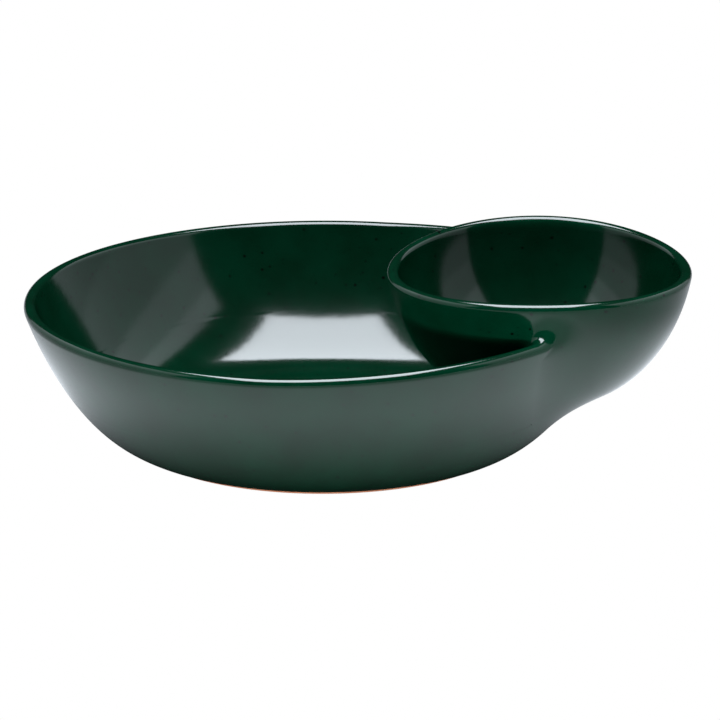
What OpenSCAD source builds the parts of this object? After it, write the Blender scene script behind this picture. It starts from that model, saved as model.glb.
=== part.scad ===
// Chip and dip server: a wide round chip bowl with a smaller dip bowl set through its rim.
// Z is up and the foot stands on z = 0, with the origin at the middle of the footprint. X runs
// from the chip bowl's axis to the dip bowl's. Functions count from the chip bowl's own axis.
// Each bowl is one wall of even thickness: a centre line turned about the bowl's own axis,
// thickened to both sides and closed by a full round lip.

/* [Chip bowl] */
// Diameter over the chip bowl's rim
chip_d = 285; // [240:1:345]
// Height of the chip bowl's rim above the table
chip_h = 70; // [55:1:90]
// Diameter of the level floor, measured on the wall's centre line
chip_floor_d = 166; // [120:1:190]
// Angle through which the centre line turns between the floor and the rim
chip_turn = 68; // [55:1:80]
// How long the wall stays low before it rises: 1 is a circle's own curve
chip_heel = 1.72; // [1:0.01:2.2]
// Thickness of the chip bowl's floor
chip_floor_t = 6.2; // [5:0.1:9]
// Thickness of the chip bowl's lip
chip_lip_t = 5.7; // [4:0.1:7.5]

/* [Foot] */
// How far the foot ring's outside stands in from the edge of the flat underside
foot_inset = 1.4; // [0.5:0.1:8]
// Width of the foot ring's face
foot_w = 9; // [4:0.5:15]
// Height of the foot ring
foot_h = 1.2; // [0.6:0.1:2.4]
// Bevel on the foot ring's lower edges
foot_bevel = 0.4; // [0.1:0.1:0.5]

/* [Dip bowl] */
// Diameter over the dip bowl's rim
dip_d = 143.6; // [118:0.2:173]
// Height of the dip bowl by itself, from its underside to its rim
dip_h = 63.6; // [52:0.2:77]
// How far the dip bowl's rim stands out past the chip bowl's rim
dip_overhang = 34; // [27:0.5:45]
// How far the dip bowl's rim stands above the chip bowl's rim
dip_lift = 22.8; // [18:0.2:28]
// Tilt of the dip bowl, higher at the back
dip_tilt = 2.4; // [0:0.1:4]
// Diameter of the level floor, measured on the wall's centre line
dip_floor_d = 36; // [20:1:60]
// Angle through which the centre line turns between the floor and the rim
dip_turn = 77; // [65:1:85]
// How long the wall stays low before it rises: 1 is a circle's own curve
dip_heel = 1.06; // [1:0.01:1.6]
// Thickness of the dip bowl's floor
dip_floor_t = 6.4; // [4.5:0.1:8]
// Thickness of the dip bowl's lip
dip_lip_t = 5.6; // [4:0.1:7]

/* [Seam] */
// Reach of the outer coil along each wall
seam_out = 14; // [6:0.5:18]
// Reach of the inner coil along each wall
seam_in = 7; // [4:0.5:9]
// Reach of both coils where they meet on top of the lip
seam_lip = 9; // [4:0.5:11]

/* [Hidden] */
$fn = 180;
GLAZE = [0.05, 0.23, 0.16];
TERRACOTTA = [0.52, 0.29, 0.19];

WALL_STEPS = 26;   // straight pieces in each side of a wall's profile
LIP_STEPS = 10;    // straight pieces in the round lip
SEAM_STEPS = 22;   // stations of a coil between the middle of the seam and a lip
COIL_STEPS = 6;    // points of a coil's section along each of its three sides
HALVINGS = 24;     // halvings of an interval that closes in on a seam
LIP_TOP = 1.5;     // where along the skin's path the top of the lip is

// A bowl is [floor radius, lip radius, floor height, lip height, turn, heel, floor half, lip half],
// where radii and heights are those of the centre line and the halves are of the thickness.
CHIP = [chip_floor_d / 2, (chip_d - chip_lip_t) / 2, chip_floor_t / 2, chip_h - chip_lip_t / 2,
        chip_turn, chip_heel, chip_floor_t / 2, chip_lip_t / 2];
DIP = [dip_floor_d / 2, (dip_d - dip_lip_t) / 2, dip_floor_t / 2, dip_h - dip_lip_t / 2,
       dip_turn, dip_heel, dip_floor_t / 2, dip_lip_t / 2];

// The dip bowl's axis, its underside and the middle of its rim when it stands level.
dip_x = chip_d / 2 + dip_overhang - dip_d / 2;
dip_z = chip_h + dip_lift - dip_h;

// ---- Profiles ----
function unit(v) = v / norm(v);
function middle(b, u) = let(t = u * b[4]) [
    b[0] + (b[1] - b[0]) * sin(t) / sin(b[4]),
    b[2] + (b[3] - b[2]) * (1 - pow(cos(t), b[5])) / (1 - pow(cos(b[4]), b[5]))];
function along(b, u) = unit(middle(b, min(1, u + 0.001)) - middle(b, max(0, u - 0.001)));
function half_wall(b, u) = b[6] + (b[7] - b[6]) * sin(90 * u);
function skin(b, u, side) = let(d = along(b, u)) middle(b, u) + side * half_wall(b, u) * [d.y, -d.x];
function lip(b, v) = let(d = along(b, 1), a = atan2(-d.x, d.y) + 180 * v)
    middle(b, 1) + b[7] * [cos(a), sin(a)];

// The whole skin as one path: s runs 0 to 1 up the outside, 1 to 2 over the lip, 2 to 3 down the inside.
function skin_at(b, s) = s < 1 ? skin(b, s, 1) : s <= 2 ? lip(b, s - 1) : skin(b, 3 - s, -1);
function path(b, s0, s1, n) = [for (i = [0 : n]) skin_at(b, s0 + (s1 - s0) * i / n)];
function whole_path(b, s0) = concat(
    path(b, s0, 1, WALL_STEPS), path(b, 1, 2, LIP_STEPS), path(b, 2, 3, WALL_STEPS));

// Where the chip bowl's outer skin leaves the foot's level, found by halving the interval.
function foot_start(lo, hi, n) = let(m = (lo + hi) / 2)
    n == 0 ? m : skin(CHIP, m, 1).y < foot_h ? foot_start(m, hi, n - 1) : foot_start(lo, m, n - 1);
chip_s0 = foot_start(0, 1, 30);
chip_path = whole_path(CHIP, chip_s0);
dip_path = whole_path(DIP, 0);
dip_outside = concat([[0, 0]], path(DIP, 0, 1, WALL_STEPS), path(DIP, 1, LIP_TOP, LIP_STEPS / 2));

// ---- Nearest point of a path, for a point p in a bowl's own radius and height ----
function on_piece(a, b, p) = let(d = b - a) a + d * max(0, min(1, ((p - a) * d) / (d * d)));
function nearest(q, p) =
    let(f = [for (i = [0 : len(q) - 2]) on_piece(q[i], q[i + 1], p)],
        gaps = [for (a = f) norm(p - a)],
        i = search(min(gaps), gaps)[0],
        d = unit(q[i + 1] - q[i]))
    [f[i], [d.y, -d.x]];
// Distance outside a path, negative within the wall or the space that the path encloses.
function gap(q, p) = let(f = nearest(q, p)) (p - f[0]) * f[1];

// ---- From the object's axes to the dip bowl's own, and back ----
// The dip bowl tilts about the line through the middle of its underside.
function turn_x(v, a) = [v.x, v.y * cos(a) - v.z * sin(a), v.y * sin(a) + v.z * cos(a)];
function to_dip(p) = turn_x(p - [dip_x, 0, dip_z], -dip_tilt);
function from_dip(p) = turn_x(p, dip_tilt) + [dip_x, 0, dip_z];
function polar(p) = [norm([p.x, p.y]), p.z];
function spin(rz, a) = [rz.x * cos(a), rz.x * sin(a), rz.y];

// Nearest point on each bowl's skin, with the outward normal there.
function chip_near(p) = let(a = atan2(p.y, p.x), f = nearest(chip_path, polar(p)))
    [spin(f[0], a), spin(f[1], a)];
function dip_near(p) = let(l = to_dip(p), a = atan2(l.y, l.x), f = nearest(dip_outside, polar(l)))
    [from_dip(spin(f[0], a)), turn_x(spin(f[1], a), dip_tilt)];

// ---- The seam: where the chip bowl's skin meets the dip bowl's ----
// A place on the chip bowl's skin is [s, angle from the X axis].
function on_chip(f) = spin(skin_at(CHIP, max(0, min(3, f[0]))), f[1]);
function within_dip(f) = gap(dip_outside, polar(to_dip(on_chip(f)))) < 0;
// The share of the way from one place to another at which the skin leaves the dip bowl.
function leaves(from, to, lo, hi, n) = let(m = (lo + hi) / 2)
    n == 0 ? m : within_dip(from + m * (to - from)) ? leaves(from, to, m, hi, n - 1)
        : leaves(from, to, lo, m, n - 1);
function exit_place(from, to) = from + leaves(from, to, 0, 1, HALVINGS) * (to - from);

// The seam is found along rays that turn, on the skin, about the middle of the stretch of lip that
// the dip bowl covers: from the lip on one side, down to foot, and up to the lip on the other side.
function seam_line(foot, side) =
    let(top = [LIP_TOP, 0], wide = exit_place(top, [LIP_TOP, 90])[1],
        deep = exit_place(top, [foot, 0])[0] - LIP_TOP)
    [for (i = [0 : 2 * SEAM_STEPS]) let(a = 90 * i / SEAM_STEPS)
        on_chip(exit_place(top, top + 2 * [deep * sin(a), side * wide * cos(a)]))];

// A hollow curve from a to b that starts along ta and arrives against tb: a cubic Bezier whose
// handles are those of the circle through a and b that turns by the same angle.
function hollow(a, ta, b, tb, v) =
    let(h = norm(b - a) / (3 * pow(cos(acos(-ta * tb) / 4), 2)), w = 1 - v)
    a * w * w * w + (a + h * ta) * 3 * v * w * w + (b + h * tb) * 3 * v * v * w + b * v * v * v;

// The part of v that lies along a skin whose outward normal is n.
function flattened(v, n) = unit(v - (v * n) * n);

// One section of a coil at edge point e: out along the chip bowl's skin, over the hollow curve
// that the finger leaves, and back along the dip bowl's skin.
function coil_section(e, reach) =
    let(nc = chip_near(e)[1], nd = dip_near(e)[1],
        out_c = flattened(nd, nc), out_d = flattened(nc, nd),
        c = [for (i = [0 : COIL_STEPS]) chip_near(e + out_c * reach * i / COIL_STEPS)[0]],
        d = [for (i = [COIL_STEPS : -1 : 1]) dip_near(e + out_d * reach * i / COIL_STEPS)[0]],
        a = c[COIL_STEPS], b = d[0],
        ta = flattened(-out_c, chip_near(a)[1]), tb = flattened(-out_d, dip_near(b)[1]))
    concat(c, [for (i = [1 : COIL_STEPS - 1]) hollow(a, ta, b, tb, i / COIL_STEPS)], d);

// Every section along a coil, whose reach eases from the lip's to its own.
function coil(foot, side, reach) = let(line = seam_line(foot, side)) [for (k = [0 : 2 * SEAM_STEPS])
    coil_section(line[k], seam_lip + (reach - seam_lip) * sin(90 * k / SEAM_STEPS))];

// A closed tube through sections that all have the same number of points.
module tube(sections) {
    n = len(sections[0]);
    m = len(sections);
    points = [for (ring = sections) each ring];
    sides = [for (k = [0 : m - 2], i = [0 : n - 1]) let(j = (i + 1) % n)
        each [[k * n + i, k * n + j, (k + 1) * n + j], [k * n + i, (k + 1) * n + j, (k + 1) * n + i]]];
    first_cap = [for (i = [1 : n - 2]) [0, i + 1, i]];
    last_cap = [for (i = [1 : n - 2]) [0, i, i + 1] + (m - 1) * n * [1, 1, 1]];
    polyhedron(points, concat(sides, first_cap, last_cap));
}

// A bowl's wall, from its axis out to the lip and back.
module bowl(b, p) {
    rotate_extrude() polygon(concat([[0, p[0].y]], p, [[0, p[len(p) - 1].y]]));
}

// Everything inside the dip bowl's outer skin, up past its rim.
module dip_space() {
    place_dip() rotate_extrude() polygon(concat(dip_outside, [[0, dip_h]]));
}

module place_dip() {
    translate([dip_x, 0, dip_z]) rotate([dip_tilt, 0, 0]) children();
}

// The dip bowl overhangs one side, so the chip bowl's axis stands back from the origin by half of that.
module on_table() {
    translate([-dip_overhang / 2, 0, 0]) children();
}

// ---- Pieces ----
module chip_bowl() {
    color(GLAZE) on_table() difference() {
        bowl(CHIP, chip_path);
        dip_space();
    }
}

// The only unglazed clay: a low ring that lifts the glaze clear of the kiln shelf.
module foot_ring() {
    r = chip_path[0].x - foot_inset;
    color(TERRACOTTA) on_table() rotate_extrude() polygon([
        [r - foot_w + foot_bevel, 0], [r - foot_bevel, 0], [r, foot_bevel], [r, foot_h],
        [r - foot_w, foot_h], [r - foot_w, foot_bevel]]);
}

module dip_bowl() {
    color(GLAZE) on_table() place_dip() bowl(DIP, dip_path);
}

module seam_coil_outer() {
    color(GLAZE) on_table() tube(coil(chip_s0, -1, seam_out));
}

module seam_coil_inner() {
    color(GLAZE) on_table() tube(coil(3, 1, seam_in));
}

chip_bowl();
foot_ring();
dip_bowl();
seam_coil_outer();
seam_coil_inner();
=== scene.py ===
"""A glazed chip and dip server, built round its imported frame.

The server is two bowls of revolution, one set through the other's rim. Each bowl's skin is a surface
of two parameters, a place s along its profile and an angle round its axis, and every piece here is
worked out from those two skins.
"""

import math

import bpy
import numpy as np
from bpy.props import FloatProperty, FloatVectorProperty, PointerProperty
from mathutils import Matrix, Quaternion, Vector


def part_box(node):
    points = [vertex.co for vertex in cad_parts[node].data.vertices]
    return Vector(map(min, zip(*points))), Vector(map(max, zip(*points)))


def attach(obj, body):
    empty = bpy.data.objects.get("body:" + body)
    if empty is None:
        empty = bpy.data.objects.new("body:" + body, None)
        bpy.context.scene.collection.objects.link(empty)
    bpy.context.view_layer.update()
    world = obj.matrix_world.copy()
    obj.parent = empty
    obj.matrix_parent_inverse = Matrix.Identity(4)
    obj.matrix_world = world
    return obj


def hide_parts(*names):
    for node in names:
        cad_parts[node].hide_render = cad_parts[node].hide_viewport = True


bl_info = {
    "name": "Chip and Dip Server",
    "version": (1, 0, 0),
    "blender": (4, 5, 0),
    "location": "3D Viewport > Sidebar > Server",
    "description": "Builds a glazed chip and dip server round its packed frame",
    "category": "Add Mesh",
}

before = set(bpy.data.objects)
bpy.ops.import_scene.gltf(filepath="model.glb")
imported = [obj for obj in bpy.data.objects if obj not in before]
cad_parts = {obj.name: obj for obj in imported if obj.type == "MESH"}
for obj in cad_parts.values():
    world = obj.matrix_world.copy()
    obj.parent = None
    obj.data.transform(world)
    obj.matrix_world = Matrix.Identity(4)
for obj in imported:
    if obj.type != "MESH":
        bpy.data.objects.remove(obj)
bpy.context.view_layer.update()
MM = 0.001

# Places along a profile: s runs up the outside, over the lip and down the inside.
AXIS_BELOW, FOOT_EDGE, LIP_OUTSIDE, LIP_TOP, LIP_INSIDE, FLOOR_EDGE, AXIS_ABOVE = -1, 0, 1, 1.5, 2, 3, 4
SINK = 1.0 * MM  # how far a cut edge or a coil's root lies inside the next wall
HALVINGS = 50  # enough for a place found by halving to reach the last digit
CHIP_RISE_POWER, DIP_RISE_POWER = 2.2, 2.0  # how late up each wall its rim's rise begins
CLIMB_SHARPNESS = 1.35  # how closely the chip rim's climb gathers at the dip bowl

# Rows and columns of the meshes.
UNDERSIDE_ROWS, FLOOR_ROWS = 5, 8
CHIP_COLUMNS, CHIP_UNCUT_ROWS, CHIP_CUT_ROWS, CHIP_LIP_ROWS = 420, 34, 44, 12
DIP_COLUMNS, DIP_WALL_ROWS, DIP_LIP_ROWS, DIP_FLOOR_ROWS = 400, 72, 26, 6
FOOT_COLUMNS, FOOT_CORNER_ROWS = 360, 7
COIL_ROWS, COIL_COLUMNS, COIL_TRIAL_COLUMNS = 41, 401, 4001

# The coils' finish.
EDGE_CALM, FACE_CALM = 80, 150  # passes that even out the edge on the chip bowl, and the face
FEATHER, FEATHER_DEPTH = 1.5 * MM, 0.03 * MM  # how far a coil's edge runs on, and sinks, past its end


# ---- Sizes and finishes that a user would change ----


class ServerSizes(bpy.types.PropertyGroup):
    chip_lip: FloatProperty(
        name="Chip lip", description="Thickness of the chip bowl's lip",
        default=5.7 * MM, unit="LENGTH")
    chip_floor: FloatProperty(
        name="Chip floor", description="Thickness of the chip bowl's floor",
        default=6.2 * MM, unit="LENGTH")
    chip_floor_across: FloatProperty(
        name="Chip floor across", description="Diameter of the chip bowl's level floor",
        default=166 * MM, unit="LENGTH")
    chip_turn: FloatProperty(
        name="Chip turn", description="Angle the wall's centre line turns through, floor to rim",
        default=math.radians(68), subtype="ANGLE")
    chip_heel: FloatProperty(
        name="Chip heel", description="How long the wall stays low: 1 is a circle's own curve",
        default=1.72)
    chip_climb: FloatProperty(
        name="Chip rim climb", description="How far the chip bowl's rim would climb at the dip bowl",
        default=6.2 * MM, unit="LENGTH")
    dip_lip: FloatProperty(
        name="Dip lip", description="Thickness of the dip bowl's lip",
        default=5.6 * MM, unit="LENGTH")
    dip_floor: FloatProperty(
        name="Dip floor", description="Thickness of the dip bowl's floor",
        default=6.4 * MM, unit="LENGTH")
    dip_floor_across: FloatProperty(
        name="Dip floor across", description="Diameter of the dip bowl's level floor",
        default=36 * MM, unit="LENGTH")
    dip_turn: FloatProperty(
        name="Dip turn", description="Angle the wall's centre line turns through, floor to rim",
        default=math.radians(77), subtype="ANGLE")
    dip_heel: FloatProperty(
        name="Dip heel", description="How long the wall stays low: 1 is a circle's own curve",
        default=1.06)
    dip_tilt: FloatProperty(
        name="Dip tilt", description="Tilt of the dip bowl, higher at the back",
        default=math.radians(2.4), subtype="ANGLE")
    dip_wave: FloatProperty(
        name="Dip rim wave",
        description="Rise of the dip bowl's rim at front and back, and its fall at the sides",
        default=2.1 * MM, unit="LENGTH")
    dip_wave_turn: FloatProperty(
        name="Dip wave turn", description="Angle from the X axis to the rim's low side",
        default=math.radians(12), subtype="ANGLE")
    seam_out: FloatProperty(
        name="Outer seam", description="Reach of the outer coil along each wall",
        default=19 * MM, unit="LENGTH")
    seam_in: FloatProperty(
        name="Inner seam", description="Reach of the inner coil along each wall",
        default=7 * MM, unit="LENGTH")
    seam_lip: FloatProperty(
        name="Seam at the lip", description="Reach of both coils on top of the lip",
        default=13 * MM, unit="LENGTH")
    foot_width: FloatProperty(
        name="Foot width", description="Width of the foot ring's face",
        default=9 * MM, unit="LENGTH")
    foot_round: FloatProperty(
        name="Foot round", description="Radius on the foot ring's lower edges",
        default=0.4 * MM, unit="LENGTH")


class ServerFinish(bpy.types.PropertyGroup):
    glaze_deep: FloatVectorProperty(
        name="Deep glaze", description="Colour of the glaze where it lies thick",
        default=(0.00004, 0.0090, 0.0034), subtype="COLOR", size=3)
    glaze_clear: FloatVectorProperty(
        name="Clear glaze", description="Colour of the glaze where it runs thin",
        default=(0.0001, 0.0140, 0.0058), subtype="COLOR", size=3)
    speck_colour: FloatVectorProperty(
        name="Specks", description="Colour of the iron specks",
        default=(0.0003, 0.0002, 0.0002), subtype="COLOR", size=3)
    speck_gap: FloatProperty(
        name="Speck gap", description="Usual distance between the larger specks",
        default=4.6 * MM, unit="LENGTH")
    glaze_roughness: FloatProperty(
        name="Glaze roughness", description="Roughness of the glaze's surface", default=0.12)
    clay_light: FloatVectorProperty(
        name="Light clay", description="Lighter colour of the bare clay",
        default=(0.36, 0.15, 0.08), subtype="COLOR", size=3)
    clay_dark: FloatVectorProperty(
        name="Dark clay", description="Darker colour of the bare clay",
        default=(0.20, 0.075, 0.04), subtype="COLOR", size=3)


class ServerStudio(bpy.types.PropertyGroup):
    camera_distance: FloatProperty(
        name="Camera distance", description="From the camera to the server's middle",
        default=2.2, unit="LENGTH")
    camera_height: FloatProperty(
        name="Camera elevation", description="Angle of the view above the table",
        default=math.radians(16.54), subtype="ANGLE")
    camera_turn: FloatProperty(
        name="Camera turn", description="Turn of the view round the server, from the front",
        default=math.radians(12), subtype="ANGLE")
    camera_lens: FloatProperty(
        name="Lens", description="Focal length on a 36 mm sensor, in millimetres", default=229.7)
    view_aside: FloatProperty(
        name="View aside", description="How far the view's middle lies right of the chip bowl's axis",
        default=17.6 * MM, unit="LENGTH")
    view_up: FloatProperty(
        name="View height", description="Height of the view's middle above the table",
        default=37.95 * MM, unit="LENGTH")


# ---- A bowl's skin ----


class Bowl:
    """A bowl's whole skin as a function of s and an angle.

    The wall's centre line is r = r0 + (r1 - r0) sin t / sin T and
    z = z0 + (z1 - z0) (1 - cos(t)^heel) / (1 - cos(T)^heel), with t = u T and u from 0 to 1. The skin lies
    half the thickness to each side of it, and half a circle of the lip's thickness joins the two sides.
    The rim's rise adds rise(angle) (z / height)^power, and the whole bowl tilts about the X line
    through the middle of its underside.
    """

    def __init__(self, axis_x, base, height, radius, floor_across, floor, lip, turn, heel,
                 rise, rise_power, tilt=0.0, foot=0.0):
        self.axis_x, self.base, self.height, self.tilt, self.foot = axis_x, base, height, tilt, foot
        self.rise, self.rise_power = rise, rise_power
        self.radii = floor_across / 2, radius - lip / 2
        self.heights = floor / 2, height - lip / 2
        self.halves = floor / 2, lip / 2
        self.turn, self.heel = turn, heel
        self.table_s = np.linspace(AXIS_BELOW, FLOOR_EDGE, 6001)
        self.table = np.stack(self.profile(self.table_s), 1)

    def profile(self, s):
        """Radius and height of the skin at s, before rise and tilt."""
        s = np.asarray(s, float)
        u = np.clip(np.where(s < LIP_TOP, s, FLOOR_EDGE - s), 0, 1)
        t, full = u * self.turn, self.turn
        (r0, r1), (z0, z1), (h0, h1) = self.radii, self.heights, self.halves
        fall = 1 - math.cos(full) ** self.heel
        r = r0 + (r1 - r0) * np.sin(t) / math.sin(full)
        z = z0 + (z1 - z0) * (1 - np.cos(t) ** self.heel) / fall
        dr = (r1 - r0) * np.cos(t) / math.sin(full)
        dz = (z1 - z0) * self.heel * np.cos(t) ** (self.heel - 1) * np.sin(t) / fall
        length = np.hypot(dr, dz)
        dr, dz = dr / length, dz / length
        half = h0 + (h1 - h0) * np.sin(u * math.pi / 2)
        swing = np.clip(s - LIP_OUTSIDE, 0, 1) * math.pi
        r = r + half * (dz * np.cos(swing) + dr * np.sin(swing))
        z = z + half * (dz * np.sin(swing) - dr * np.cos(swing))
        inwards = np.clip(np.where(s < LIP_TOP, -s, s - FLOOR_EDGE), 0, 1)
        return r * (1 - inwards), np.maximum(z, self.foot)

    def point(self, s, angle):
        """The skin's point at s and an angle, in the row's frame."""
        r, z = self.profile(s)
        z = z + self.rise(angle) * np.clip(z / self.height, 0, 1) ** self.rise_power
        x, y = r * np.cos(angle), r * np.sin(angle)
        c, t = math.cos(self.tilt), math.sin(self.tilt)
        return np.stack(np.broadcast_arrays(x + self.axis_x, y * c - z * t, y * t + z * c + self.base), -1)

    def normal(self, s, angle):
        """The outward normal: the cross product of the skin's two directions."""
        e = 1e-5
        along = self.point(s + e, angle) - self.point(s - e, angle)
        across = self.point(s, angle + e) - self.point(s, angle - e)
        return unit(np.cross(across, along))

    def own(self, points):
        """Radius, angle and height of points in the bowl's own frame, with tilt and rise taken out."""
        c, t = math.cos(self.tilt), math.sin(self.tilt)
        x, y, z = points[..., 0] - self.axis_x, points[..., 1], points[..., 2] - self.base
        y, z = y * c + z * t, z * c - y * t
        angle, level = np.arctan2(y, x), z
        for _ in range(4):
            level = z - self.rise(angle) * np.clip(level / self.height, 0, 1) ** self.rise_power
        return np.hypot(x, y), angle, level

    def nearest(self, points):
        """s and the angle of the skin's place nearest to each point."""
        r, angle, z = self.own(points)
        gaps = (self.table[:, 0] - r[:, None]) ** 2 + (self.table[:, 1] - z[:, None]) ** 2
        i = np.clip(gaps.argmin(1), 1, len(self.table) - 2)
        a, b = self.table[i - 1], self.table[i + 1]
        p = np.stack([r, z], 1)
        share = np.clip(((p - a) * (b - a)).sum(1) / ((b - a) ** 2).sum(1), 0, 1)
        return self.table_s[i - 1] + share * (self.table_s[i + 1] - self.table_s[i - 1]), angle

    def covers(self, points, sink=0.0):
        """Whether points lie inside the outer skin, at least sink deep."""
        r, _, z = self.own(points)
        outside = self.table[self.table_s <= LIP_TOP]
        outside = outside[np.searchsorted(outside[:, 0], self.radii[0], "right"):]
        reach = np.interp(z - sink, outside[:, 1], outside[:, 0])
        return (r < reach - sink) & (z > sink)


def unit(v):
    return v / np.linalg.norm(v, axis=-1, keepdims=True)


def flattened(v, n):
    """The part of v that lies along a skin whose normal is n, as a unit vector."""
    return unit(v - (v * n).sum(-1, keepdims=True) * n)


def frame_box(node):
    low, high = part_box(node)
    return np.array(low), np.array(high)


def the_bowls(sizes):
    """Both bowls, from the frame's boxes and the sizes."""
    low, high = frame_box("chip_bowl")
    radius = (high[1] - low[1]) / 2
    chip_x = low[0] + radius
    foot = frame_box("foot_ring")[1][2]

    def climb(angle):
        return sizes.chip_climb * np.clip(np.cos(angle), 0, None) ** CLIMB_SHARPNESS

    chip = Bowl(
        chip_x, 0.0, high[2], radius, sizes.chip_floor_across, sizes.chip_floor, sizes.chip_lip,
        sizes.chip_turn, sizes.chip_heel, climb, CHIP_RISE_POWER, foot=foot)

    low, high = frame_box("dip_bowl")
    radius = (high[0] - low[0]) / 2
    lip, lean = sizes.dip_lip / 2, math.sin(sizes.dip_tilt)
    base = low[2] + sizes.dip_floor_across / 2 * lean
    height = (high[2] - lip - (radius - lip) * lean - base) / math.cos(sizes.dip_tilt) + lip

    def wave(angle):
        return -sizes.dip_wave * np.cos(2 * (angle - sizes.dip_wave_turn))

    dip = Bowl(
        (low[0] + high[0]) / 2, base, height, radius, sizes.dip_floor_across, sizes.dip_floor,
        sizes.dip_lip, sizes.dip_turn, sizes.dip_heel, wave, DIP_RISE_POWER, tilt=sizes.dip_tilt)
    return chip, dip


# ---- Meshes ----


def grid_faces(ids, closed):
    """Quads between neighbouring rows and columns of a table of vertex numbers. Columns may close up.
    Where two corners are one vertex, the quad is a triangle."""
    nxt = np.roll(ids, -1, 1) if closed else ids[:, 1:]
    cur = ids if closed else ids[:, :-1]
    quads = np.stack([cur[:-1], nxt[:-1], nxt[1:], cur[1:]], -1).reshape(-1, 4)
    same = quads == np.roll(quads, -1, 1)
    faces = quads[~same.any(1)].tolist()
    for k in range(4):
        corner = quads[same[:, k] & (same.sum(1) == 1)]
        faces += np.delete(corner, k, 1).tolist()
    return faces


def add_piece(name, points, faces, material, node, normals=None):
    """A piece with its place in its mesh, riding on the root body in place of a CAD node. Where normals
    are given, the piece is shaded by those that aren't zero."""
    used, numbers = np.unique(np.concatenate([np.ravel(f) for f in faces]), return_inverse=True)
    ends = np.cumsum([len(f) for f in faces])[:-1]
    mesh = bpy.data.meshes.new(name)
    mesh.from_pydata(points[used].tolist(), [], [f.tolist() for f in np.split(numbers, ends)])
    mesh.shade_smooth()
    if normals is not None:
        mesh.normals_split_custom_set_from_vertices(normals[used].tolist())
    mesh.materials.append(material)
    piece = bpy.data.objects.new(name, mesh)
    bpy.context.scene.collection.objects.link(piece)
    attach(piece, "root")
    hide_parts(node)


def crowded(n):
    """n shares of a turn from 0 to 1, closer together at both ends: x - 0.6 sin(2 pi x) / (2 pi)."""
    x = np.linspace(0, 1, n)
    return x - 0.6 * np.sin(2 * math.pi * x) / (2 * math.pi)


def eased(n):
    """n shares from 0 to 1 that crowd at both ends, as (1 - cos(pi x)) / 2."""
    return (1 - np.cos(np.linspace(0, math.pi, n))) / 2


def cut_angle(chip, dip, s, side):
    """The angle to one side of the X axis at which the chip bowl's skin leaves the dip bowl, for each s,
    found by halving. The cut lies a little inside the dip bowl's wall."""
    low, high = np.zeros(len(s)), np.full(len(s), math.radians(60))
    for _ in range(HALVINGS):
        middle = (low + high) / 2
        within = dip.covers(chip.point(s, side * middle), SINK)
        low, high = np.where(within, middle, low), np.where(within, high, middle)
    return low


def cut_starts(chip, dip, outer):
    """s of the lowest place straight below the dip bowl that the cut takes from the skin, by halving."""
    low, high = (0.05, LIP_TOP) if outer else (FLOOR_EDGE, LIP_TOP)
    for _ in range(HALVINGS):
        middle = (low + high) / 2
        within = dip.covers(chip.point(np.array([middle]), np.zeros(1)), SINK)[0]
        low, high = (low, middle) if within else (middle, high)
    return high


def build_chip_bowl(chip, dip):
    """Rows follow s and columns follow the angle. In the cut's rows the columns run from one edge of the
    cut round to the other, and a strip through the wall joins the outer edges to the inner ones."""
    outer, inner = cut_starts(chip, dip, True), cut_starts(chip, dip, False)
    below = np.concatenate([
        np.linspace(AXIS_BELOW, FOOT_EDGE, UNDERSIDE_ROWS)[:-1],
        np.linspace(FOOT_EDGE, outer, CHIP_UNCUT_ROWS)[:-1]])
    cut_out = np.concatenate([
        np.linspace(outer, LIP_OUTSIDE, CHIP_CUT_ROWS)[:-1],
        np.linspace(LIP_OUTSIDE, LIP_TOP, CHIP_LIP_ROWS)])
    cut_in = np.concatenate([
        np.linspace(LIP_TOP, LIP_INSIDE, CHIP_LIP_ROWS)[1:],
        np.linspace(LIP_INSIDE, inner, CHIP_CUT_ROWS)[1:]])
    above = np.concatenate([
        np.linspace(inner, FLOOR_EDGE, CHIP_UNCUT_ROWS)[1:],
        np.linspace(FLOOR_EDGE, AXIS_ABOVE, FLOOR_ROWS)[1:]])
    s = np.concatenate([below, cut_out, cut_in, above])
    cut = np.arange(len(below), len(below) + len(cut_out) + len(cut_in))
    left, right = np.zeros(len(s)), np.zeros(len(s))
    left[cut], right[cut] = (cut_angle(chip, dip, s[cut], side) for side in (1, -1))
    share = crowded(CHIP_COLUMNS)[None, :]
    angle = left[:, None] + (2 * math.pi - left - right)[:, None] * share
    points = chip.point(s[:, None] + 0 * angle, angle)
    ids = np.arange(points.size // 3).reshape(points.shape[:2])
    whole = np.ones(len(s), bool)
    whole[cut] = False
    ids[whole, -1] = ids[whole, 0]
    ids[[0, -1], :] = ids[[0, -1], :1]
    faces = grid_faces(ids, False)
    top = cut[0] + len(cut_out) - 1
    outside = np.arange(top, cut[0] - 2, -1)
    inside = np.arange(top, top + len(outside))
    edges = np.stack([
        np.concatenate([ids[rows, -1], ids[rows[::-1], 0][1:]]) for rows in (outside, inside)])
    faces += grid_faces(edges[::-1], False)
    return points.reshape(-1, 3), faces


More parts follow.
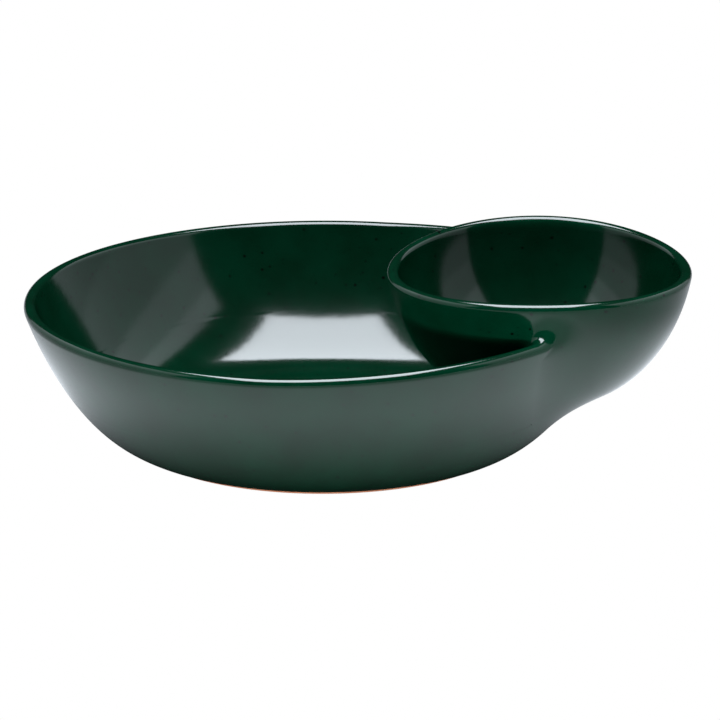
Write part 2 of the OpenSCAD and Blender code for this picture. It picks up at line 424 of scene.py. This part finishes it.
def build_dip_bowl(dip):
    """The dip bowl's skin, turned all the way round."""
    s = np.concatenate([
        np.linspace(AXIS_BELOW, FOOT_EDGE, UNDERSIDE_ROWS)[:-1],
        np.linspace(FOOT_EDGE, LIP_OUTSIDE, DIP_WALL_ROWS)[:-1],
        np.linspace(LIP_OUTSIDE, LIP_INSIDE, DIP_LIP_ROWS)[:-1],
        np.linspace(LIP_INSIDE, FLOOR_EDGE, DIP_WALL_ROWS)[:-1],
        np.linspace(FLOOR_EDGE, AXIS_ABOVE, DIP_FLOOR_ROWS)])
    angle = np.linspace(0, 2 * math.pi, DIP_COLUMNS + 1)[:-1]
    points = dip.point(s[:, None], angle[None, :])
    ids = np.arange(points.size // 3).reshape(points.shape[:2])
    ids[[0, -1], :] = ids[[0, -1], :1]
    return points.reshape(-1, 3), grid_faces(ids, True)


def build_foot_ring(chip_x, radius, height, width, rounding):
    """A rectangle with two rounded lower corners, carried round the chip bowl's axis."""
    corner = np.linspace(0, math.pi / 2, FOOT_CORNER_ROWS)
    near, far = radius - width, radius
    profile = np.concatenate([
        [[near, height]],
        np.stack([near + rounding * (1 - np.cos(corner)), rounding * (1 - np.sin(corner))], 1),
        np.stack([far - rounding * (1 - np.sin(corner)), rounding * (1 - np.cos(corner))], 1),
        [[far, height]], [[near, height]]])
    angle = np.linspace(0, 2 * math.pi, FOOT_COLUMNS + 1)[:-1]
    r, z = profile[:, :1], profile[:, 1:]
    points = np.stack([chip_x + r * np.cos(angle), r * np.sin(angle), z + 0 * angle], -1)
    ids = np.arange(points.size // 3).reshape(points.shape[:2])
    ids[-1] = ids[0]
    return points.reshape(-1, 3), grid_faces(ids, True)


def seam_places(chip, dip, turn):
    """s and angle of the seam, where the chip bowl's skin meets the dip bowl's. Rays turn, on the chip
    bowl's skin, about the middle of the covered stretch of lip, and halving finds where each one
    leaves the dip bowl."""
    low, high = np.zeros(len(turn)), np.full(len(turn), LIP_TOP + 0.05)
    wide = 0.5  # radians of angle for one unit of s

    def place(reach):
        return (np.clip(LIP_TOP - reach * np.sin(turn), FOOT_EDGE, FLOOR_EDGE), reach * wide * np.cos(turn))

    for _ in range(HALVINGS):
        middle = (low + high) / 2
        within = dip.covers(chip.point(*place(middle)))
        low, high = np.where(within, middle, low), np.where(within, high, middle)
    return place((low + high) / 2)


def seam_sides(chip, dip, sizes, turn):
    """The seam's points and the way out of both walls there, A on the chip bowl and B on the dip bowl,
    both walls' normals there, and the ways along the skins by which the coil's face leaves A and B.

    A and B lie a reach away from the seam. The reach goes from seam_lip on top of the lip to the coil's
    own at the seam's lowest place, as sin(turn)^2."""
    s, angle = seam_places(chip, dip, turn)
    edge = chip.point(s, angle)
    chip_normal, dip_normal = chip.normal(s, angle), dip.normal(*dip.nearest(edge))
    low = np.sin(turn) ** 2
    reach = np.where(turn < math.pi, sizes.seam_out, sizes.seam_in)
    reach = (sizes.seam_lip + (reach - sizes.seam_lip) * low)[:, None]
    away, up = flattened(dip_normal, chip_normal), flattened(chip_normal, dip_normal)
    at_chip, at_dip = chip.nearest(edge + reach * away), dip.nearest(edge + reach * up)
    a_normal, b_normal = chip.normal(*at_chip), dip.normal(*at_dip)
    return (edge, chip_normal + dip_normal, chip.point(*at_chip), dip.point(*at_dip), a_normal, b_normal,
            flattened(-away, a_normal), flattened(-up, b_normal))


def even_turns(chip, dip, sizes, start, end):
    """Turns from start to end that pass the seam and both sides of its coil in steps of one size."""
    turn = np.linspace(start, end, COIL_TRIAL_COLUMNS)
    edge, _, a, b = seam_sides(chip, dip, sizes, turn)[:4]
    steps = sum(np.linalg.norm(np.diff(line, axis=0), axis=1) for line in (edge, a, b))
    passed = np.concatenate([[0], np.cumsum(steps)])
    return np.interp(np.linspace(0, passed[-1], COIL_COLUMNS), passed, turn)


def calmed(rows, times):
    """Rows that close up, each evened out along itself: a pass makes every column half its own value and
    a quarter of each neighbour's."""
    ring = rows[:, :-1]
    for _ in range(times):
        ring = (np.roll(ring, 1, 1) + 2 * ring + np.roll(ring, -1, 1)) / 4
    return np.concatenate([ring, ring[:, :1]], 1)


def build_seam(chip, dip, sizes):
    """The coil round the whole seam, as a grid of rows across it and columns along it, and its normals.

    From each place on the seam the coil reaches out along both skins, to A on the chip bowl and B on the
    dip bowl. Its face is a cubic Bezier from A to B that leaves both along their skins, with the handles
    of the circle that turns by the same angle. Between A and B the face is then evened out along the
    coil. Its root lies a little inside both walls, and its normals there are zero."""
    outer = even_turns(chip, dip, sizes, 0, math.pi)
    inner = even_turns(chip, dip, sizes, math.pi, 2 * math.pi)
    turn = np.concatenate([outer, inner[1:]])
    edge, inward, a, b, a_normal, b_normal, ta, tb = seam_sides(chip, dip, sizes, turn)
    at_chip = calmed(np.stack(chip.nearest(a)), EDGE_CALM)
    a, a_normal = chip.point(*at_chip), chip.normal(*at_chip)
    ta = flattened(ta, a_normal)
    turned = np.arccos(np.clip(-(ta * tb).sum(1), -1, 1))[:, None]
    handle = np.linalg.norm(b - a, axis=1, keepdims=True) / (3 * np.cos(turned / 4) ** 2)
    v = eased(COIL_ROWS)[:, None, None]
    face = ((1 - v) ** 3 * a + 3 * v * (1 - v) ** 2 * (a + handle * ta)
            + 3 * v ** 2 * (1 - v) * (b + handle * tb) + v ** 3 * b)
    face = face + np.sin(math.pi * v) ** 2 * (calmed(face, FACE_CALM) - face)
    past_a = chip.point(*chip.nearest(a - FEATHER * ta)) - FEATHER_DEPTH * a_normal
    past_b = dip.point(*dip.nearest(b - FEATHER * tb)) - FEATHER_DEPTH * b_normal
    root = edge - SINK * inward
    along = np.roll(face[:, :-1], -1, 1) - np.roll(face[:, :-1], 1, 1)
    across = np.gradient(face, axis=0)
    shading = unit(np.cross(np.concatenate([along, along[:, :1]], 1), across))
    shading = shading * np.sign((shading * (a_normal + b_normal)).sum(2, keepdims=True))
    shading[0], shading[-1] = a_normal, b_normal
    rows = np.concatenate([past_a[None], face, past_b[None], root[None], past_a[None]])
    inside = np.zeros_like(root)[None]
    return rows, np.concatenate([a_normal[None], shading, b_normal[None], inside, a_normal[None]])


def build_coil(rows, normals, columns):
    """One coil: some of the seam's columns, closed at both ends by a fan about a place near the root."""

    def with_fans(part, first, last):
        return np.concatenate([np.broadcast_to(first, (len(part), 1, 3)), part,
                               np.broadcast_to(last, (len(part), 1, 3))], 1)

    part = rows[:, columns]
    middles = (2 * part[-2] + part[len(part) // 2]) / 3
    points = with_fans(part, middles[0], middles[-1])
    ids = np.arange(points.size // 3).reshape(points.shape[:2])
    ids[-1] = ids[0]
    ids[:, 0] = ids[0, 0]
    ids[:, -1] = ids[0, -1]
    shading = with_fans(normals[:, columns], np.zeros(3), np.zeros(3))
    return points.reshape(-1, 3), grid_faces(ids[::-1], False), shading.reshape(-1, 3)


# ---- Materials ----


class Nodes:
    """Adds nodes to a material and joins them, left to right."""

    def __init__(self, name):
        self.material = bpy.data.materials.new(name)
        self.material.use_nodes = True
        self.tree = self.material.node_tree
        self.shader = self.tree.nodes["Principled BSDF"]
        self.count = 0

    def add(self, kind, links=(), **values):
        node = self.tree.nodes.new(kind)
        self.count += 1
        node.location = (-1400 + 120 * self.count, -160 * (self.count % 5))
        for key, value in values.items():
            if key in node.inputs:
                node.inputs[key].default_value = value
            else:
                setattr(node, key, value)
        for socket, source in dict(links).items():
            self.tree.links.new(source, node.inputs[socket])
        return node

    def join(self, source, socket):
        self.tree.links.new(source, self.shader.inputs[socket])


def math_node(nodes, operation, first, second):
    """A Math node of two inputs, each a socket or a number."""
    node = nodes.add("ShaderNodeMath", operation=operation)
    for i, value in enumerate((first, second)):
        if isinstance(value, (int, float)):
            node.inputs[i].default_value = value
        else:
            nodes.tree.links.new(value, node.inputs[i])
    return node.outputs[0]


def specks(nodes, place, gap, size, share):
    """1 in round specks and 0 between them: the cells of a Voronoi pattern hold a speck of their own size
    at their middle, and only a share of the cells has one."""
    cells = nodes.add("ShaderNodeTexVoronoi", {"Vector": place}, feature="F1", Scale=1 / gap)
    pick = nodes.add("ShaderNodeSeparateColor", {"Color": cells.outputs["Color"]})
    own_size = nodes.add(
        "ShaderNodeMapRange", {"Value": pick.outputs[0]},
        **{"From Min": 1 - share, "From Max": 1.0, "To Min": 0.25 * size / gap, "To Max": size / gap})
    chosen = math_node(nodes, "GREATER_THAN", pick.outputs[0], 1 - share)
    edge = math_node(nodes, "SUBTRACT", own_size.outputs[0], cells.outputs["Distance"])
    soft = math_node(nodes, "MULTIPLY", edge, 8 * gap / size)
    clamp = nodes.add("ShaderNodeClamp", {"Value": soft})
    return math_node(nodes, "MULTIPLY", clamp.outputs[0], chosen)


def green_glaze(finish):
    """High gloss over a deep bottle green that runs a little lighter where the coat is thin, with iron
    specks of two sizes, and the faint ripple and pitting of a fired glaze."""
    nodes = Nodes("server_green_glaze")
    place = nodes.add("ShaderNodeTexCoord").outputs["Object"]
    clouds = nodes.add("ShaderNodeTexNoise", {"Vector": place}, Scale=34.0, Detail=4.0, Roughness=0.6)
    coat = nodes.add(
        "ShaderNodeMapRange", {"Value": clouds.outputs[0]}, **{"From Min": 0.35, "From Max": 0.68})
    colour = nodes.add("ShaderNodeMix", {"Factor": coat.outputs[0]}, data_type="RGBA")
    colour.inputs["A"].default_value = (*finish.glaze_deep, 1)
    colour.inputs["B"].default_value = (*finish.glaze_clear, 1)
    gap = finish.speck_gap
    large = specks(nodes, place, gap, 0.8 * MM, 0.75)
    small = specks(nodes, place, 0.35 * gap, 0.28 * MM, 0.5)
    spotted = math_node(nodes, "MAXIMUM", large, small)
    mixed = nodes.add("ShaderNodeMix", {"Factor": spotted}, data_type="RGBA")
    nodes.tree.links.new(colour.outputs["Result"], mixed.inputs["A"])
    mixed.inputs["B"].default_value = (*finish.speck_colour, 1)
    nodes.join(mixed.outputs["Result"], "Base Color")
    ripple = nodes.add("ShaderNodeTexNoise", {"Vector": place}, Scale=90.0, Detail=2.0, Roughness=0.5)
    pits = nodes.add("ShaderNodeTexNoise", {"Vector": place}, Scale=1500.0, Detail=2.0, Roughness=0.6)
    wavy = nodes.add("ShaderNodeBump", {"Height": ripple.outputs[0]}, Strength=0.06, Distance=0.6 * MM)
    grainy = nodes.add(
        "ShaderNodeBump", {"Height": pits.outputs[0], "Normal": wavy.outputs[0]},
        Strength=0.10, Distance=0.05 * MM)
    nodes.join(grainy.outputs[0], "Normal")
    rough = nodes.add(
        "ShaderNodeMapRange", {"Value": pits.outputs[0]},
        **{"From Min": 0.3, "From Max": 0.7, "To Min": 0.8 * finish.glaze_roughness,
           "To Max": 1.2 * finish.glaze_roughness})
    nodes.join(rough.outputs[0], "Roughness")
    nodes.shader.inputs["IOR"].default_value = 1.52
    return nodes.material


def bare_terracotta(finish):
    """Matte fired clay, turned smooth: fine grains and soft stains."""
    nodes = Nodes("server_bare_terracotta")
    place = nodes.add("ShaderNodeTexCoord").outputs["Object"]
    grains = nodes.add("ShaderNodeTexNoise", {"Vector": place}, Scale=900.0, Detail=6.0, Roughness=0.7)
    stains = nodes.add("ShaderNodeTexNoise", {"Vector": place}, Scale=40.0, Detail=3.0, Roughness=0.5)
    both = math_node(nodes, "ADD", math_node(nodes, "MULTIPLY", grains.outputs[0], 0.6),
                     math_node(nodes, "MULTIPLY", stains.outputs[0], 0.5))
    colour = nodes.add("ShaderNodeMix", {"Factor": both}, data_type="RGBA")
    colour.inputs["A"].default_value = (*finish.clay_dark, 1)
    colour.inputs["B"].default_value = (*finish.clay_light, 1)
    nodes.join(colour.outputs["Result"], "Base Color")
    bump = nodes.add("ShaderNodeBump", {"Height": grains.outputs[0]}, Strength=0.35, Distance=0.15 * MM)
    nodes.join(bump.outputs[0], "Normal")
    nodes.shader.inputs["Roughness"].default_value = 0.85
    return nodes.material


def server_material(name):
    """The named material, made the first time that a piece asks for it."""
    makers = {"green_glaze": green_glaze, "bare_terracotta": bare_terracotta}
    found = bpy.data.materials.get("server_" + name)
    return found or makers[name](bpy.context.scene.server_finish)


# ---- Stage ----

SOFTBOX_TINT = (0.87, 0.93, 1.0)
ROOM_GREY = (0.008, 0.008, 0.009)
TABLE_GREY, TABLE_HALF = 0.15, 6.0
PAINTED_TABLE_GLOW, PAINTED_GLOW_FAR_SHARE = 1.1, 0.12  # painted light: the table's emitted radiance round the server, and its share far from the server
PAINTED_SHADOW_SPAN = (0.095, 0.165)  # distances from the foot's middle over which the painted shadow under the server gives way to the painted light
PAINTED_GLOW_FADE = (0.15, 0.27)  # distances from the server's middle over which the painted light fades

OVERHEAD_UP, OVERHEAD_AHEAD, OVERHEAD_SIZE, OVERHEAD_RADIANCE = 1.5, 0.11, (1.2, 1.26), 15.0

# Side panels stand PANEL_AWAY to each hand. Their ends and their strips are given in that distance.
PANEL_AWAY, PANEL_BACK, PANEL_FRONTS = 1.2, 1.3, {"right": -0.55, "left": -0.72}
PANEL_STRIPS = ((0.02, 0.32, 0.45), (0.32, 0.62, 0.6), (0.62, 0.92, 1.0), (0.92, 1.2, 1.5))

# Low lights to the front, by their bearing in degrees. The glaze doesn't mirror them.
FILL_BEARINGS = {"front": 0, "front_left": -55, "front_right": 55}
FILL_AWAY, FILL_UP, FILL_SIZE, FILL_RADIANCE = 1.6, 0.035, (1.4, 0.06), 100.0

SENSOR_WIDTH, SIGHT_END = 36, 30


def add_softbox(name, middle, target, size, radiance, turn=0.0, mirrored=True):
    """An area light whose face has one radiance, turned to its target and about its own axis. Glaze may
    mirror it or not, and never shows it by way of a second mirror."""
    data = bpy.data.lights.new(name, "AREA")
    data.shape = "RECTANGLE"
    data.size, data.size_y = size
    data.color = SOFTBOX_TINT
    data.energy = radiance * math.pi * size[0] * size[1]
    data.use_nodes = True
    tree = data.node_tree
    path = tree.nodes.new("ShaderNodeLightPath")
    once = tree.nodes.new("ShaderNodeMath")
    once.operation = "LESS_THAN"
    once.inputs[1].default_value = 1.5  # between one mirror and two
    tree.links.new(path.outputs["Glossy Depth"], once.inputs[0])
    tree.links.new(once.outputs[0], tree.nodes["Emission"].inputs["Strength"])
    light = bpy.data.objects.new(name, data)
    bpy.context.scene.collection.objects.link(light)
    facing = (Vector(target) - Vector(middle)).normalized()
    light.rotation_mode = "QUATERNION"
    light.rotation_quaternion = facing.to_track_quat("-Z", "Y") @ Quaternion((0, 0, 1), turn)
    light.location = middle
    light.visible_camera = False
    light.visible_glossy = mirrored


def white_to_camera(tree, lit, plain, output):
    """Shows the camera a plain shader, and everything else a lit one."""
    rays = tree.nodes.new("ShaderNodeLightPath")
    mix = tree.nodes.new("ShaderNodeMixShader")
    tree.links.new(rays.outputs["Is Camera Ray"], mix.inputs[0])
    tree.links.new(lit.outputs[0], mix.inputs[1])
    tree.links.new(plain.outputs[0], mix.inputs[2])
    tree.links.new(mix.outputs[0], tree.nodes[output].inputs[0])


def white_table_painted_light(foot_middle):
    """A pale light table that the camera sees as plain white. What the glaze mirrors is its emission, which
    is painted light: dark near the foot's middle, a painted shadow under the server, and fading away from
    the server, a painted pool of light round it."""
    nodes = Nodes("white_table_painted_light")
    tree, lit = nodes.tree, nodes.shader
    lit.inputs["Base Color"].default_value = (TABLE_GREY, TABLE_GREY, TABLE_GREY, 1)
    lit.inputs["Roughness"].default_value = 1.0
    lit.inputs["Specular IOR Level"].default_value = 0.0
    lit.inputs["Emission Color"].default_value = (*SOFTBOX_TINT, 1)
    place = nodes.add("ShaderNodeTexCoord").outputs["Object"]

    def ramp(middle, distances, values):
        """A value that eases from one to the next over a range of distances from a middle."""
        gap = nodes.add("ShaderNodeVectorMath", operation="DISTANCE")
        tree.links.new(place, gap.inputs[0])
        gap.inputs[1].default_value = middle
        return nodes.add(
            "ShaderNodeMapRange", {"Value": gap.outputs["Value"]}, interpolation_type="SMOOTHSTEP",
            **{"From Min": distances[0], "From Max": distances[1],
               "To Min": values[0], "To Max": values[1]}).outputs[0]

    # painted shadow and painted light: the emission is dark near the foot's middle and fades away from the
    # server
    painted_emission = math_node(nodes, "MULTIPLY", ramp(foot_middle, PAINTED_SHADOW_SPAN, (0.0, PAINTED_TABLE_GLOW)),
                     ramp((0, 0, 0), PAINTED_GLOW_FADE, (1.0, PAINTED_GLOW_FAR_SHARE)))
    nodes.join(painted_emission, "Emission Strength")
    white_to_camera(tree, lit, tree.nodes.new("ShaderNodeEmission"), "Material Output")
    return nodes.material


def studio_world():
    """White to the camera, and a dim grey room to everything else."""
    world = bpy.data.worlds.new("studio")
    world.use_nodes = True
    tree = world.node_tree
    room = tree.nodes["Background"]
    room.inputs[0].default_value = (*ROOM_GREY, 1)
    plain = tree.nodes.new("ShaderNodeBackground")
    plain.inputs[0].default_value = (1, 1, 1, 1)
    white_to_camera(tree, room, plain, "World Output")
    bpy.context.scene.world = world


# ---- Operators ----


class SERVER_OT_chip_bowl(bpy.types.Operator):
    """Add the chip bowl, with the cut that the dip bowl sits in"""

    bl_idname = "server.chip_bowl"
    bl_label = "Chip Bowl"

    def execute(self, context):
        chip, dip = the_bowls(context.scene.server_sizes)
        points, faces = build_chip_bowl(chip, dip)
        add_piece("glazed_chip_bowl", points, faces, server_material("green_glaze"),
                  "chip_bowl")
        return {"FINISHED"}


class SERVER_OT_dip_bowl(bpy.types.Operator):
    """Add the dip bowl"""

    bl_idname = "server.dip_bowl"
    bl_label = "Dip Bowl"

    def execute(self, context):
        dip = the_bowls(context.scene.server_sizes)[1]
        points, faces = build_dip_bowl(dip)
        add_piece("glazed_dip_bowl", points, faces, server_material("green_glaze"),
                  "dip_bowl")
        return {"FINISHED"}


class SERVER_OT_foot_ring(bpy.types.Operator):
    """Add the foot ring of bare clay"""

    bl_idname = "server.foot_ring"
    bl_label = "Foot Ring"

    def execute(self, context):
        sizes = context.scene.server_sizes
        low, high = frame_box("foot_ring")
        points, faces = build_foot_ring(
            (low[0] + high[0]) / 2, (high[0] - low[0]) / 2, high[2], sizes.foot_width, sizes.foot_round)
        add_piece("bare_foot_ring", points, faces, server_material("bare_terracotta"),
                  "foot_ring")
        return {"FINISHED"}


class SERVER_OT_seam_coils(bpy.types.Operator):
    """Add both coils of clay that fill the corners between the bowls"""

    bl_idname = "server.seam_coils"
    bl_label = "Seam Coils"

    def execute(self, context):
        sizes = context.scene.server_sizes
        chip, dip = the_bowls(sizes)
        rows, normals = build_seam(chip, dip, sizes)
        half = rows.shape[1] // 2
        material = server_material("green_glaze")
        for name, node, columns in (("glazed_outer_seam", "seam_coil_outer", slice(0, half + 1)),
                                    ("glazed_inner_seam", "seam_coil_inner", slice(half, None))):
            points, faces, shading = build_coil(rows, normals, columns)
            add_piece(name, points, faces, material, node, shading)
        return {"FINISHED"}


class SERVER_OT_stage(bpy.types.Operator):
    """Add the table, the soft lights and the camera"""

    bl_idname = "server.stage"
    bl_label = "Stage"

    def execute(self, context):
        studio = context.scene.server_studio
        low, high = frame_box("chip_bowl")
        axis = Vector((low[0] + (high[1] - low[1]) / 2, 0, 0))
        turned = Matrix.Rotation(studio.camera_turn, 3, "Z")

        def stand(x, y, z):
            """A place given right of, behind and above the chip bowl's foot, as the camera sees it."""
            return axis + turned @ Vector((x, y, z))

        self.add_table(context.scene, axis)
        self.add_lights(stand, studio.camera_turn)
        studio_world()
        self.add_camera(context.scene, studio, stand, turned)
        context.scene.view_settings.view_transform = "Standard"
        return {"FINISHED"}

    def add_table(self, scene, foot_middle):
        side = TABLE_HALF
        corners = [(-side, -side, 0), (side, -side, 0), (side, side, 0), (-side, side, 0)]
        mesh = bpy.data.meshes.new("table")
        mesh.from_pydata(corners, [], [(0, 1, 2, 3)])
        # the table's emission holds a painted shadow under the server and a painted pool of light round it
        mesh.materials.append(white_table_painted_light(foot_middle))
        table = bpy.data.objects.new("table", mesh)
        scene.collection.objects.link(table)

    def add_lights(self, stand, camera_turn):
        above = stand(0, -OVERHEAD_AHEAD, OVERHEAD_UP)
        add_softbox("overhead_softbox", above, above - Vector((0, 0, 1)), OVERHEAD_SIZE,
                    OVERHEAD_RADIANCE, turn=camera_turn)
        for name, front in PANEL_FRONTS.items():
            x = PANEL_AWAY if name == "right" else -PANEL_AWAY
            for level, (low, high, radiance) in enumerate(PANEL_STRIPS, 1):
                y, z = PANEL_AWAY * (front + PANEL_BACK) / 2, PANEL_AWAY * (low + high) / 2
                size = PANEL_AWAY * (PANEL_BACK - front), PANEL_AWAY * (high - low)
                add_softbox(f"{name}_panel_{level}", stand(x, y, z), stand(0, y, z), size, radiance)
        for name, bearing in FILL_BEARINGS.items():
            aside, ahead = math.sin(math.radians(bearing)), -math.cos(math.radians(bearing))
            add_softbox("fill_" + name, stand(FILL_AWAY * aside, FILL_AWAY * ahead, FILL_UP),
                        stand(0, 0, FILL_UP), FILL_SIZE, FILL_RADIANCE, mirrored=False)

    def add_camera(self, scene, studio, stand, turned):
        data = bpy.data.cameras.new("camera")
        data.sensor_width = SENSOR_WIDTH
        data.lens = studio.camera_lens
        data.clip_end = SIGHT_END
        camera = bpy.data.objects.new("camera", data)
        scene.collection.objects.link(camera)
        target = stand(studio.view_aside, 0, studio.view_up)
        lift = studio.camera_height
        back = turned @ Vector((0, -math.cos(lift), math.sin(lift)))
        camera.location = target + studio.camera_distance * back
        camera.rotation_euler = (-back).to_track_quat("-Z", "Y").to_euler()
        scene.camera = camera


class SERVER_PT_panel(bpy.types.Panel):
    """Lists the server's pieces and sizes"""

    bl_idname = "SERVER_PT_panel"
    bl_label = "Chip and Dip Server"
    bl_space_type = "VIEW_3D"
    bl_region_type = "UI"
    bl_category = "Server"

    def draw(self, context):
        layout = self.layout
        for operator in OPERATORS:
            layout.operator(operator.bl_idname)
        for group in (context.scene.server_sizes, context.scene.server_finish, context.scene.server_studio):
            column = layout.column(align=True)
            for name in group.__annotations__:
                column.prop(group, name)


GROUPS = {"server_sizes": ServerSizes, "server_finish": ServerFinish, "server_studio": ServerStudio}
OPERATORS = (SERVER_OT_chip_bowl, SERVER_OT_dip_bowl, SERVER_OT_foot_ring, SERVER_OT_seam_coils,
             SERVER_OT_stage)


def register():
    for name, group in GROUPS.items():
        bpy.utils.register_class(group)
        setattr(bpy.types.Scene, name, PointerProperty(type=group))
    for operator in OPERATORS:
        bpy.utils.register_class(operator)
    bpy.utils.register_class(SERVER_PT_panel)


def unregister():
    bpy.utils.unregister_class(SERVER_PT_panel)
    for operator in reversed(OPERATORS):
        bpy.utils.unregister_class(operator)
    for name, group in GROUPS.items():
        delattr(bpy.types.Scene, name)
        bpy.utils.unregister_class(group)


def main():
    register()
    bpy.ops.server.chip_bowl()
    bpy.ops.server.dip_bowl()
    bpy.ops.server.foot_ring()
    bpy.ops.server.seam_coils()
    bpy.ops.server.stage()


if __name__ == "__main__":
    main()
